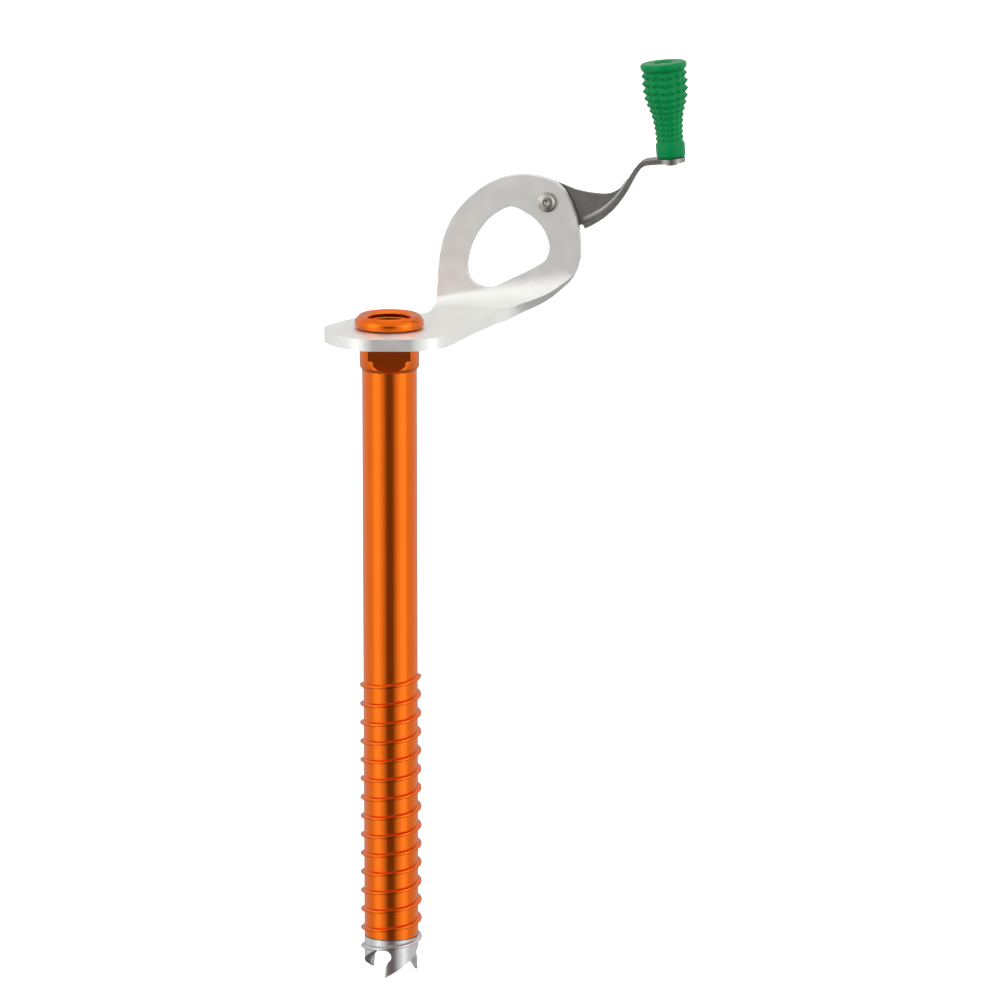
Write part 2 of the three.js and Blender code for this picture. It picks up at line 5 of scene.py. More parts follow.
import bmesh
import bpy
from bpy.props import FloatProperty, FloatVectorProperty, IntProperty, PointerProperty
from mathutils import Matrix, Vector


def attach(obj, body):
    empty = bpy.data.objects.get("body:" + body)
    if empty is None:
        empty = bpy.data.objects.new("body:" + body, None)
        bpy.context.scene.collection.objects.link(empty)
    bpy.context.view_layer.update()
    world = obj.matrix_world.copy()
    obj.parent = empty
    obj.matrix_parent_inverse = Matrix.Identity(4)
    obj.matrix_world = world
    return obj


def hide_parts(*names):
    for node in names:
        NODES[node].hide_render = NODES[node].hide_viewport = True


bl_info = {
    "name": "Ice Screw",
    "version": (1, 0, 0),
    "blender": (4, 5, 0),
    "location": "View3D > Sidebar > Ice Screw",
    "description": "Builds the finished pieces of an ice screw and its studio",
    "category": "Object",
}

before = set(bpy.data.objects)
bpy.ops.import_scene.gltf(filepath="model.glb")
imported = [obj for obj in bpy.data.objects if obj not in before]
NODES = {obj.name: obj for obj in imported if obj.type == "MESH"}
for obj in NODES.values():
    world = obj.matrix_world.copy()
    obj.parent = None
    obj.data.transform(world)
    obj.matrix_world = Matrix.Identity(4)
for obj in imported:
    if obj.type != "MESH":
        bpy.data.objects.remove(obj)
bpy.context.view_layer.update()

MM = 0.001
FULL_TURN = 2 * math.pi
GAP = 0.3  # between neighbours
PLATE = 3.85  # thickness of the hanger

# the frame of the hanger's upright lobe: x along it, y up, z out of its front
LOBE_TURN = math.radians(8.5)
LOBE_ALONG = Vector((math.cos(LOBE_TURN), -math.sin(LOBE_TURN), 0))
LOBE_FRONT = Vector((-math.sin(LOBE_TURN), -math.cos(LOBE_TURN), 0))
LOBE_ORIGIN = Vector((3.0, 43.6, PLATE))
PIVOT = Vector((48.7, 34.9, 0))
KNOB_FOOT = Vector((89.3, 49.35, -3.05))
KNOB_LEAN = math.radians(5.2)

COLLAR_RADIUS = 9.7
NECK_RADIUS = 8.2
POCKET_RADIUS = 7.9  # inside the tube, round the tip's spigot
BEYOND = 12.0  # how far cutters reach from the axis, past the outside of the tube
TIP_STEP = 3.3  # the ramp of the joint between tube and tip, at the back
THREAD_STEPS = 48  # straight lengths in one turn of the thread

TEETH = 3
FIRST_TOOTH = 256  # degrees round from +X
GULLET_TURN = -270 - 6  # degrees from -Y to a tooth at +X, and the lag behind its edge
RELIEF_END = 98  # degrees round from the tooth to the next gullet
RELIEF_HEIGHT = 9.2

FRICTION_WASHER = 0.5
SPRING_WASHER = 0.7
CRANK_SHEET = 1.6
CRANK_PAD = 0.8  # half of the pad's thickness, from the knob's foot


def lobe_matrix(place=Vector()):
    """Turns the lobe's frame, with its origin moved to a place in it, into the row's."""
    matrix = Matrix((LOBE_ALONG, Vector((0, 0, 1)), LOBE_FRONT)).transposed().to_4x4()
    matrix.translation = LOBE_ORIGIN
    return matrix @ Matrix.Translation(place)


def knob_matrix():
    """Stands a piece turned about Z on the crank's pad, along the knob's lean."""
    lean = Matrix.Rotation(KNOB_LEAN, 4, "Z")
    upright = Matrix.Rotation(-math.pi / 2, 4, "X")
    return lobe_matrix(KNOB_FOOT) @ lean @ upright


# ------------------------------------------------------------------ settings


def size_setting(name, description, default):
    return FloatProperty(name=name, description=description, default=default, min=0, precision=3)


class IceScrewSizes(bpy.types.PropertyGroup):
    """Sizes of the finished pieces, in millimetres."""

    tube_radius: size_setting("Tube radius", "Outside of the tube", 8.9)
    bore_radius: size_setting("Bore radius", "Inside of the tube", 6.1)
    tube_length: size_setting("Length", "Hanger's underside to the tooth tips", 212.18)
    tip_height: size_setting("Tip height", "Height of the steel tip", 13.03)
    thread_pitch: size_setting("Thread pitch", "Height of one turn", 6.315)
    thread_radius: size_setting("Thread radius", "Outside of the ridge", 10.08)
    thread_start: size_setting("Thread start", "Hanger's underside to the ridge's upper end", 111.7)
    plate: size_setting("Plate", "Thickness of the hanger", PLATE)
    edge_break: size_setting("Edge break", "Width of the bevel round the hanger", 0.65)
    knob_height: size_setting("Knob height", "Length of the grip", 31.2)
    stud_height: size_setting("Stud height", "Height of the widest studs", 1.1)
    stud_columns: IntProperty(name="Stud columns", description="Studs round the grip", default=14)
    segments: IntProperty(name="Segments", description="Straight lengths in a circle", default=96)


def colour_setting(name, description, default):
    return FloatVectorProperty(
        name=name, description=description, default=default, size=3, subtype="COLOR", min=0, max=1
    )


class IceScrewColours(bpy.types.PropertyGroup):
    """Colours of the finishes."""

    anodised: colour_setting("Anodised tube", "Dyed aluminium", (0.8, 0.14, 0.005))
    plate: colour_setting("Hanger", "Clear anodised aluminium", (0.87, 0.87, 0.84))
    tip: colour_setting("Cutting tip", "Ground steel", (0.6, 0.6, 0.6))
    sheet: colour_setting("Crank", "Pressed stainless sheet", (0.31, 0.3, 0.287))
    grip: colour_setting("Knob", "Moulded plastic", (0.0, 0.27, 0.072))
    nylon: colour_setting("Washer", "Moulded nylon", (0.02, 0.02, 0.022))


def sizes():
    return bpy.context.scene.ice_screw_sizes


def colours():
    return bpy.context.scene.ice_screw_colours


# ----------------------------------------------------------------- materials


def ranged(tree, source, start, end, low=0.0, high=1.0):
    """Carries a value from start..end to low..high."""
    node = tree.nodes.new("ShaderNodeMapRange")
    node.inputs["From Min"].default_value = start
    node.inputs["From Max"].default_value = end
    node.inputs["To Min"].default_value = low
    node.inputs["To Max"].default_value = high
    tree.links.new(source, node.inputs["Value"])
    return node.outputs["Result"]


class Finish:
    """A node material under construction, with patterns on Object coordinates."""

    def __init__(self, name, colour, roughness, metallic):
        self.material = bpy.data.materials.get(name)
        self.is_new = self.material is None
        if not self.is_new:
            return
        self.material = bpy.data.materials.new(name)
        self.material.use_nodes = True
        self.nodes = self.material.node_tree.nodes
        self.links = self.material.node_tree.links
        self.shader = self.nodes["Principled BSDF"]
        self.colour = (*colour, 1)
        self.shader.inputs["Base Color"].default_value = self.colour
        self.shader.inputs["Roughness"].default_value = roughness
        self.shader.inputs["Metallic"].default_value = metallic
        self.place = self.nodes.new("ShaderNodeTexCoord").outputs["Object"]
        self.height = None

    def noise(self, scale, stretch=(1, 1, 1), detail=4.0):
        """Noise whose grains are 1/scale metres wide, drawn out by the stretch."""
        mapping = self.nodes.new("ShaderNodeMapping")
        mapping.inputs["Scale"].default_value = stretch
        texture = self.nodes.new("ShaderNodeTexNoise")
        texture.inputs["Scale"].default_value = scale
        texture.inputs["Detail"].default_value = detail
        self.links.new(self.place, mapping.inputs["Vector"])
        self.links.new(mapping.outputs["Vector"], texture.inputs["Vector"])
        return texture.outputs["Fac"]

    def spread(self, source, low, high):
        """The middle of a noise's values, spread over a range."""
        return ranged(self.material.node_tree, source, 0.3, 0.7, low, high)

    def vary_roughness(self, source, low, high):
        self.links.new(self.spread(source, low, high), self.shader.inputs["Roughness"])

    def vary_colour(self, source, factor):
        """Lets the colour drift between itself and a darker one."""
        mix = self.nodes.new("ShaderNodeMix")
        mix.data_type = "RGBA"
        mix.inputs["A"].default_value = [c * factor for c in self.colour[:3]] + [1]
        mix.inputs["B"].default_value = self.colour
        self.links.new(self.spread(source, 0, 1), mix.inputs["Factor"])
        self.links.new(mix.outputs["Result"], self.shader.inputs["Base Color"])

    def bump(self, source, depth, strength=1.0):
        """Adds relief of a depth in metres."""
        node = self.nodes.new("ShaderNodeBump")
        node.inputs["Distance"].default_value = depth
        node.inputs["Strength"].default_value = strength
        self.links.new(source, node.inputs["Height"])
        if self.height:
            self.links.new(self.height, node.inputs["Normal"])
        self.height = node.outputs["Normal"]
        self.links.new(self.height, self.shader.inputs["Normal"])


def anodised_finish():
    finish = Finish("orange_anodised", colours().anodised, 0.2, 1)
    if finish.is_new:
        turning = finish.noise(900, (0.02, 0.02, 9), 3)
        finish.vary_roughness(turning, 0.17, 0.25)
        finish.bump(turning, 0.000002, 0.5)
        finish.vary_colour(finish.noise(60), 0.95)
        finish.shader.inputs["Coat Weight"].default_value = 0.12
        finish.shader.inputs["Coat Roughness"].default_value = 0.15
    return finish.material


def plate_finish():
    finish = Finish("silver_anodised", colours().plate, 0.45, 0.82)
    if finish.is_new:
        blasted = finish.noise(5200, detail=2)
        finish.vary_roughness(finish.noise(220), 0.38, 0.5)
        finish.bump(blasted, 0.000006, 0.6)
        finish.vary_colour(finish.noise(130), 0.95)
    return finish.material


def steel_finish():
    finish = Finish("ground_steel", colours().tip, 0.22, 1)
    if finish.is_new:
        turning = finish.noise(1100, (0.03, 0.03, 8), 3)
        finish.vary_roughness(turning, 0.18, 0.34)
        finish.bump(turning, 0.000003, 0.6)
        finish.vary_colour(finish.noise(300), 0.88)
    return finish.material


def sheet_finish():
    finish = Finish("pressed_stainless", colours().sheet, 0.34, 1)
    if finish.is_new:
        rolling = finish.noise(900, (0.5, 1, 3), 4)
        finish.vary_roughness(rolling, 0.26, 0.44)
        finish.bump(rolling, 0.000005, 0.6)
        finish.vary_colour(finish.noise(260), 0.82)
    return finish.material


def pin_finish():
    finish = Finish("formed_steel", [c * 1.35 for c in colours().sheet], 0.3, 1)
    if finish.is_new:
        hammered = finish.noise(1500, detail=3)
        finish.vary_roughness(hammered, 0.24, 0.4)
        finish.bump(hammered, 0.00001, 0.5)
    return finish.material


def grip_finish():
    finish = Finish("studded_grip", colours().grip, 0.38, 0)
    if finish.is_new:
        grain = finish.noise(2600, detail=3)
        finish.vary_roughness(finish.noise(500), 0.24, 0.34)
        finish.shader.inputs["Specular IOR Level"].default_value = 0.11
        finish.bump(grain, 0.000012, 0.5)
        finish.vary_colour(finish.noise(160), 0.86)
    return finish.material


def nylon_finish():
    finish = Finish("black_nylon", colours().nylon, 0.55, 0)
    if finish.is_new:
        finish.vary_roughness(finish.noise(900), 0.5, 0.65)
        finish.bump(finish.noise(2400), 0.00001, 0.4)
    return finish.material


# ------------------------------------------------------------------ modelling


def lathe(profile, segments=None):
    """Spins a closed or axis-ended profile of (radius, height) about Z."""
    bm = bmesh.new()
    points = [bm.verts.new((radius, 0, height)) for radius, height in profile]
    closed = profile[0] == profile[-1]
    if closed:
        bm.verts.remove(points.pop())
    edges = [bm.edges.new(pair) for pair in zip(points, points[1:])]
    if closed:
        edges.append(bm.edges.new((points[-1], points[0])))
    bmesh.ops.spin(
        bm,
        geom=points + edges,
        cent=(0, 0, 0),
        axis=(0, 0, 1),
        angle=FULL_TURN,
        steps=segments or sizes().segments,
        use_merge=True,
    )
    bmesh.ops.remove_doubles(bm, verts=bm.verts, dist=1e-5)
    bmesh.ops.recalc_face_normals(bm, faces=bm.faces)
    return bm


def prism(outline, near, far):
    """An outline of (x, z) points, extruded from one y to another."""
    bm = bmesh.new()
    face = bm.faces.new([bm.verts.new((x, near, z)) for x, z in outline])
    grown = bmesh.ops.extrude_face_region(bm, geom=[face])["geom"]
    moved = [item for item in grown if isinstance(item, bmesh.types.BMVert)]
    bmesh.ops.translate(bm, verts=moved, vec=(0, far - near, 0))
    bmesh.ops.recalc_face_normals(bm, faces=bm.faces)
    return bm


def arc(centre, radius, start, end, count):
    """Points on an arc, with its angles in degrees."""
    return [
        (
            centre[0] + radius * math.cos(math.radians(start + (end - start) * i / count)),
            centre[1] + radius * math.sin(math.radians(start + (end - start) * i / count)),
        )
        for i in range(count + 1)
    ]


def add_object(name, bm):
    mesh = bpy.data.meshes.new(name)
    bm.to_mesh(mesh)
    bm.free()
    piece = bpy.data.objects.new(name, mesh)
    bpy.context.scene.collection.objects.link(piece)
    return piece


def carve(piece, cutter, operation="DIFFERENCE"):
    """Cuts a piece with a bmesh, or joins the two."""
    tool = add_object("cutter", cutter)
    modifier = piece.modifiers.new("carve", "BOOLEAN")
    modifier.object = tool
    modifier.operation = operation
    modifier.solver = "EXACT"
    graph = bpy.context.evaluated_depsgraph_get()
    carved = bpy.data.meshes.new_from_object(piece.evaluated_get(graph))
    piece.modifiers.remove(modifier)
    piece.data, plain = carved, piece.data
    bpy.data.meshes.remove(plain)
    bpy.data.objects.remove(tool)


def complete(piece, body, nodes, material, matrix=None, angle=32, edge=0.0):
    """Scales a piece to metres, sets its shading and ties it to the frame."""
    bm = bmesh.new()
    bm.from_mesh(piece.data)
    bmesh.ops.remove_doubles(bm, verts=bm.verts, dist=1e-4)
    if edge:
        break_edges(bm, edge)
    bmesh.ops.transform(
        bm, matrix=Matrix.Scale(MM, 4) @ (matrix or Matrix()), verts=bm.verts
    )
    set_shading(bm, angle)
    bm.to_mesh(piece.data)
    bm.free()
    piece.data.name = piece.name
    piece.data.materials.clear()
    piece.data.materials.append(material)
    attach(piece, body)
    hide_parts(*nodes)


def set_shading(bm, angle):
    for face in bm.faces:
        face.smooth = True
    for edge in bm.edges:
        edge.smooth = edge.calc_face_angle(0) < math.radians(angle)


def break_edges(bm, width, angle=40):
    """Bevels every outer edge that is sharper than the angle."""
    limit = math.radians(angle)
    sharp = [e for e in bm.edges if e.is_manifold and e.calc_face_angle_signed(0) > limit]
    bmesh.ops.bevel(
        bm,
        geom=sharp,
        offset=width,
        offset_type="OFFSET",
        segments=2,
        profile=0.5,
        affect="EDGES",
        material=-1,
        clamp_overlap=True,
    )


def merged_copy(node):
    """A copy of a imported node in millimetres, its loose triangles merged into faces."""
    bm = bmesh.new()
    bm.from_mesh(NODES[node].data)
    bmesh.ops.transform(bm, matrix=Matrix.Scale(1 / MM, 4), verts=bm.verts)
    bmesh.ops.remove_doubles(bm, verts=bm.verts, dist=0.002)
    bmesh.ops.dissolve_limit(
        bm,
        angle_limit=math.radians(0.8),
        verts=bm.verts,
        edges=bm.edges,
        use_dissolve_boundaries=False,
    )
    return bm


def weigh_normals(piece):
    modifier = piece.modifiers.new("weigh_normals", "WEIGHTED_NORMAL")
    modifier.mode = "FACE_AREA"
    modifier.weight = 90
    modifier.keep_sharp = True


# ---------------------------------------------------------------- screw parts


def joint_height():
    """The level front of the joint between tube and tip."""
    return sizes().tip_height - sizes().tube_length


def turns_to_joint():
    """Turns of the thread above the joint."""
    return (-joint_height() - sizes().thread_start) / sizes().thread_pitch


def turn_about_axis(bm, angle):
    """Turns a bmesh about Z, by an angle in radians."""
    turn = Matrix.Rotation(angle, 3, "Z")
    bmesh.ops.rotate(bm, verts=bm.verts, cent=(0, 0, 0), matrix=turn)


def thread_ridge(first_turn, last_turn):
    """The rounded right-hand ridge between two turns, counted down from its start."""
    s = sizes()
    steps = round((last_turn - first_turn) * THREAD_STEPS)
    root, crest = s.tube_radius - 0.6, s.thread_radius
    section = [
        (root, 0.86), (s.tube_radius + 0.15, 0.66), (crest - 0.28, 0.52), (crest - 0.06, 0.32),
    ]
    section += [(crest, 0.0)] + [(radius, -rise) for radius, rise in reversed(section)]
    bm = bmesh.new()
    ring = [
        bm.verts.new((radius, 0, rise - s.thread_start - first_turn * s.thread_pitch))
        for radius, rise in section
    ]
    bmesh.ops.rotate(
        bm, verts=ring, cent=(0, 0, 0), matrix=Matrix.Rotation(-first_turn * FULL_TURN, 3, "Z")
    )
    start_cap = bm.faces.new(ring)
    edges = list(start_cap.edges)
    turned = bmesh.ops.spin(
        bm,
        geom=ring + edges,
        cent=(0, 0, 0),
        axis=(0, 0, 1),
        dvec=(0, 0, -s.thread_pitch * (last_turn - first_turn) / steps),
        angle=-(last_turn - first_turn) * FULL_TURN,
        steps=steps,
        use_merge=False,
    )
    last_edges = [item for item in turned["geom_last"] if isinstance(item, bmesh.types.BMEdge)]
    bmesh.ops.edgeloop_fill(bm, edges=last_edges)
    bmesh.ops.remove_doubles(bm, verts=bm.verts, dist=1e-5)
    bmesh.ops.recalc_face_normals(bm, faces=bm.faces)
    return bm


def below_joint(height):
    """The level front and the ramped back of the joint between tube and tip."""
    reach, floor = BEYOND, height - 18
    slope = TIP_STEP / (2 * sizes().tube_radius)
    right = height + slope * (reach - sizes().tube_radius)
    left = height - slope * (reach + sizes().tube_radius)
    front = [(-reach, floor), (reach, floor), (reach, height), (-reach, height)]
    back = [(-reach, floor), (reach, floor), (reach, right), (-reach, left)]
    return prism(front, -reach, 0.001), prism(back, 0, reach)


def key_flat():
    """One of the two milled flats that key the hanger, with its run-out."""
    half, radius, bottom, shoulder = 5.3, 8.0, -7.4, -5.9
    depth = 6.8
    sweep = math.degrees(math.asin(half / radius))
    centre = (0, bottom + radius * math.cos(math.radians(sweep)))
    outline = [(-BEYOND, BEYOND), (-BEYOND, shoulder), (-half - 0.4, shoulder), (-half, -6.3)]
    outline += arc(centre, radius, -90 - sweep, -90 + sweep, 16)
    outline += [(half, -6.3), (half + 0.4, shoulder), (BEYOND, shoulder), (BEYOND, BEYOND)]
    return prism(outline, -BEYOND, -depth)


class ICESCREW_OT_tube(bpy.types.Operator):
    """Turn the anodised tube, wind its thread and mill its flats"""

    bl_idname = "ice_screw.tube"
    bl_label = "Tube"

    def execute(self, context):
        s = sizes()
        foot = joint_height() - TIP_STEP
        pocket = joint_height() + 8.3
        top = s.plate + 2.3
        radius = s.tube_radius
        outside = [
            (POCKET_RADIUS, foot), (radius, foot), (radius, -9.75), (9.15, -9.45), (9.6, -8.75),
            (COLLAR_RADIUS, -8.5), (COLLAR_RADIUS, -0.55), (9.45, -GAP), (NECK_RADIUS, -GAP),
            (NECK_RADIUS, top - 0.3), (7.9, top),
        ]
        inside = [
            (6.4, top), (s.bore_radius, top - 0.3), (s.bore_radius, pocket),
            (POCKET_RADIUS, pocket), (POCKET_RADIUS, foot),
        ]
        piece = add_object("tube_anodised", lathe(outside + inside))
        carve(piece, thread_ridge(0, turns_to_joint() + 0.4), "UNION")
        for cutter in below_joint(joint_height()):
            carve(piece, cutter)
        carve(piece, key_flat())
        rear = key_flat()
        turn_about_axis(rear, math.pi)
        carve(piece, rear)
        complete(piece, "screw", ["tube"], anodised_finish())
        return {"FINISHED"}


def gullet():
    """The hooked gullet in front of a tooth, cut along -Y."""
    half, top, corner, small = 3.05, 9.3, 2.1, 1.05
    outline = [
        (-half, -1), (1, -1), (1, 0.4), (1.15, 1.4),
        (1.35, 2.4), (1.42, 3.4), (1.55, 4.4), (2.0, 5.4),
    ]
    outline += arc((half - corner, top - corner), corner, -25, 90, 16)
    outline += arc((small - half, top - small), small, 90, 180, 8)
    return prism(outline, -BEYOND, 0)


def relief():
    """The slope behind a tooth at +X, which climbs evenly to the next gullet."""
    bm = bmesh.new()
    rings = []
    inner = 4
    for turn in [*range(-8, RELIEF_END, 4), RELIEF_END, RELIEF_END + 10]:
        place = Vector((math.cos(math.radians(turn)), math.sin(math.radians(turn)), 0))
        high = RELIEF_HEIGHT * min(turn, RELIEF_END) / RELIEF_END
        corners = ((inner, -1), (BEYOND, -1), (BEYOND, high), (inner, high))
        rings.append([bm.verts.new(place * radius + Vector((0, 0, z))) for radius, z in corners])
    for ring, after in zip(rings, rings[1:]):
        for i in range(4):
            bm.faces.new((ring[i - 1], ring[i], after[i], after[i - 1]))
    bm.faces.new(rings[0])
    bm.faces.new(rings[-1])
    bmesh.ops.recalc_face_normals(bm, faces=bm.faces)
    return bm


class ICESCREW_OT_cutting_tip(bpy.types.Operator):
    """Turn the steel tip and grind its hooked teeth"""

    bl_idname = "ice_screw.cutting_tip"
    bl_label = "Cutting tip"

    def execute(self, context):
        s = sizes()
        end = -s.tube_length
        top = joint_height() + 8
        body = [
            (s.bore_radius, end + 7), (8.1, end), (s.tube_radius, end), (s.tube_radius, top),
            (s.bore_radius, top), (s.bore_radius, end + 7),
        ]
        piece = add_object("tip_steel", lathe(body))
        carve(piece, thread_ridge(turns_to_joint() - 0.2, turns_to_joint() + 0.95), "UNION")
        spigot, low, high = 7.6, end + 8, top + 1
        sleeve = [(spigot, low), (BEYOND, low), (BEYOND, high), (spigot, high), (spigot, low)]
        above = add_object("sleeve", lathe(sleeve))
        for cutter in below_joint(joint_height() - GAP):
            carve(above, cutter)
        bm = bmesh.new()
        bm.from_mesh(above.data)
        bpy.data.objects.remove(above)
        carve(piece, bm)
        for tooth in range(TEETH):
            angle = math.radians(FIRST_TOOTH + 360 // TEETH * tooth)
            for shape, lead in ((gullet, GULLET_TURN), (relief, 0)):
                cutter = shape()
                bmesh.ops.translate(cutter, verts=cutter.verts, vec=(0, 0, end))
                turn_about_axis(cutter, angle + math.radians(lead))
                carve(piece, cutter)
        complete(piece, "screw", ["cutting_tip"], steel_finish())
        return {"FINISHED"}


class ICESCREW_OT_head_ring(bpy.types.Operator):
    """Turn the ring that clamps the hanger"""

    bl_idname = "ice_screw.head_ring"
    bl_label = "Head ring"

    def execute(self, context):
        foot = sizes().plate + GAP
        outside = [
            (8.5, 0), (10.6, 0), (11.05, 0.22), (11.25, 0.65), (11.25, 2.05),
            (11.15, 2.35), (9.75, 3.95), (9.5, 4.08), (9.25, 4.02),
        ]
        inside = [(7.05, 3.15), (6.9, 3.0), (6.9, 2.45), (8.5, 2.45), (8.5, 0)]
        profile = [(radius, foot + rise) for radius, rise in outside + inside]
        piece = add_object("ring_anodised", lathe(profile))
        complete(
            piece, "screw", ["head_ring"], anodised_finish(), angle=28
        )
        return {"FINISHED"}


class ICESCREW_OT_hanger(bpy.types.Operator):
    """Break the edges of the bent plate and give it its finish"""

    bl_idname = "ice_screw.hanger"
    bl_label = "Hanger"

    def execute(self, context):
        piece = add_object("hanger_plate", merged_copy("hanger"))
        complete(
            piece, "screw", ["hanger"], plate_finish(),
            angle=60, edge=sizes().edge_break,
        )
        weigh_normals(piece)
        return {"FINISHED"}


class ICESCREW_OT_crank(bpy.types.Operator):
    """Soften the pressed crank's edges and give it its finish"""

    bl_idname = "ice_screw.crank"
    bl_label = "Crank"

    def execute(self, context):
        piece = add_object("crank_sheet", merged_copy("crank_arm"))
        complete(
            piece, "crank", ["crank_arm"], sheet_finish(), angle=34, edge=0.22
        )
        weigh_normals(piece)
        return {"FINISHED"}


class ICESCREW_OT_rivet(bpy.types.Operator):
    """Form the crank's rivet and its two washers"""

    bl_idname = "ice_screw.rivet"
    bl_label = "Rivet and washers"

    def execute(self, context):
        place = lobe_matrix(PIVOT)
        web_front = -PLATE - FRICTION_WASHER - 2 * GAP
        web_back = web_front - CRANK_SHEET
        spring_back = web_back - GAP - SPRING_WASHER
        back = spring_back - GAP
        rear = [
            (0, back - 1.1), (2.2, back - 1.05), (2.9, back - 0.8), (3.28, back - 0.4),
            (3.3, back), (1.9, back),
        ]
        front = [
            (1.9, GAP), (3.15, GAP), (3.3, 0.42), (3.24, 0.62), (2.75, 0.78), (2.5, 0.84),
            (2.36, 1.0), (2.1, 1.2), (1.6, 1.34), (1.05, 1.38), (0.86, 1.33), (0.72, 1.1),
            (0.45, 0.95), (0, 0.9),
        ]
        rivet = add_object("rivet", lathe(rear + front, 64))
        complete(rivet, "screw", ["crank_rivet"], pin_finish(), place, angle=40)
        friction = (5.0, web_front + GAP, -PLATE - GAP)
        spring = (3.6, spring_back, web_back - GAP)
        washers = (
            ("washer_friction", "friction_washer", friction, "nylon", nylon_finish()),
            ("washer_spring", "spring_washer", spring, "stainless_pins", pin_finish()),
        )
        hole, lip = 2.2, 0.12
        for name, node, (radius, low, high), slot, material in washers:
            wall = [
                (hole, low), (radius - lip, low), (radius, low + lip), (radius, high - lip),
                (radius - lip, high), (hole, high), (hole, low),
            ]
            washer = add_object(name, lathe(wall, 64))
            complete(washer, "screw", [node], material, place)
        return {"FINISHED"}


STUD_STEPS = 10  # straight lengths round one stud
STUD_LEVELS = [5.3 + 0.2 * i for i in range(116)]  # heights at which the studs are shaped

# heights of the rows of studs above the knob's foot, and the radius of their tips
STUD_ROWS = (6.3, 8.1, 9.8, 11.6, 13.6, 15.5, 17.5, 19.75, 22.15, 24.7, 27.2)
STUD_RADII = (4.62, 4.7, 4.86, 5.06, 5.38, 5.95, 6.68, 7.3, 7.6, 7.66, 7.6)


def between(rows, values, at):
    """Value at a height, on straight lines through the rows."""
    for (low, a), (high, b) in zip(zip(rows, values), zip(rows[1:], values[1:])):
        if at <= high:
            return a + (b - a) * max(at - low, 0) / (high - low)
    return values[-1]


def stud_wave(height):
    """1 at the middle of a row of studs and 0 half-way to the next row."""
    for low, high in zip(STUD_ROWS, STUD_ROWS[1:]):
        if low <= height <= high:
            share = (height - low) / (high - low)
            return abs(2 * share - 1)
    first, last = STUD_ROWS[0], STUD_ROWS[-1]
    beyond = (first - height) / 0.9 if height < first else (height - last) / 1.2
    return max(0.0, 1 - beyond)


def stud_surface(height, column):
    """Radius of the grip at a height and a share of the way across a column of studs."""
    tip = between(STUD_ROWS, STUD_RADII, height)
    rise = sizes().stud_height * (0.42 + 0.58 * (tip - 4.6) / 3)  # low where the grip is slim
    crown = 1 - abs(2 * column - 1)
    return tip - rise * (1 - crown * stud_wave(height))


def raise_studs(bm, foot):
    """Moves the grip's points out from the bottoms of the furrows to its studs."""
    columns = sizes().stud_columns
    for vert in bm.verts:
        radius = math.hypot(vert.co.x, vert.co.y)
        height = vert.co.z - foot
        if radius < 3.35 or not 5.2 < height < 28.4:
            continue
        column = (math.atan2(vert.co.y, vert.co.x) / FULL_TURN * columns) % 1
        grown = stud_surface(height, column) / radius
        vert.co.x *= grown
        vert.co.y *= grown


class ICESCREW_OT_knob(bpy.types.Operator):
    """Mould the studded grip and form the pin that holds it"""

    bl_idname = "ice_screw.knob"
    bl_label = "Knob and pin"

    def execute(self, context):
        tall = sizes().knob_height
        foot = CRANK_PAD + GAP
        top = foot + tall
        side = [(4.35, 0), (4.65, 0.25), (4.78, 0.8), (4.78, 4.3), (4.62, 4.75), (4.3, 5.1)]
        side += [(stud_surface(level, 0), level) for level in STUD_LEVELS]
        side += [
            (6.75, 28.5), (7.2, 28.95), (7.5, 29.4), (7.6, 29.9),
            (7.55, tall - 0.5), (7.2, tall - 0.1), (6.9, tall),
        ]
        hole, recess = 1.8, 3.1
        profile = [(hole, foot)] + [(radius, foot + height) for radius, height in side]
        profile += [
            (recess + 0.3, top), (recess, top - 0.3), (recess, top - 2), (hole, top - 2),
            (hole, foot),
        ]
        bm = lathe(profile, sizes().stud_columns * STUD_STEPS)
        raise_studs(bm, foot)
        grip = add_object("knob_grip", bm)
        complete(grip, "knob", ["knob"], grip_finish(), knob_matrix(), angle=50)

        head = top - 0.5 - 1.2
        tail = -CRANK_PAD - GAP
        formed_tail = [
            (0, tail - 0.6), (1.5, tail - 0.58), (1.95, tail - 0.42), (2.2, tail - 0.15),
            (2.2, tail), (1.5, tail),
        ]
        sunk_head = [
            (1.5, head), (2.8, head), (2.8, head + 0.6), (2.6, head + 0.95), (2.2, head + 1.15),
            (0.9, head + 1.2), (0.7, head + 0.95), (0, head + 0.9),
        ]
        pin = add_object("pin", lathe(formed_tail + sunk_head, 48))
        complete(
            pin, "crank", ["knob_pin"], pin_finish(), knob_matrix(), angle=40
        )
        return {"FINISHED"}


# --------------------------------------------------------------------- studio


# what reflections see round the horizon, from straight in front (0) to behind (1)
STUDIO_LEVELS = (
    (0.0, 0.09), (0.012, 0.1), (0.022, 0.2), (0.045, 0.42), (0.1, 0.6),
    (0.22, 0.96), (0.42, 0.5), (0.85, 0.48), (1.0, 0.25),
)
WARM_END = 0.02  # the dark gap in front is a little warmer than the rest
WARMTH = 1.1
STUDIO_STRENGTH = 2.0
SKY_LEVEL = 0.48


def background(nodes, strength):
    node = nodes.new("ShaderNodeBackground")
    node.inputs["Color"].default_value = (1, 1, 1, 1)
    node.inputs["Strength"].default_value = strength
    return node


def horizon_ramp(nodes):
    """A colour ramp of the studio's levels."""
    ramp = nodes.new("ShaderNodeValToRGB")
    elements = ramp.color_ramp.elements
    while len(elements) < len(STUDIO_LEVELS):
        elements.new(0.5)
    for element, (position, value) in zip(elements, STUDIO_LEVELS):
        element.position = position
        warmth = WARMTH if position < WARM_END else 1
        element.color = (value * warmth, value / warmth, value / warmth, 1)
    return ramp


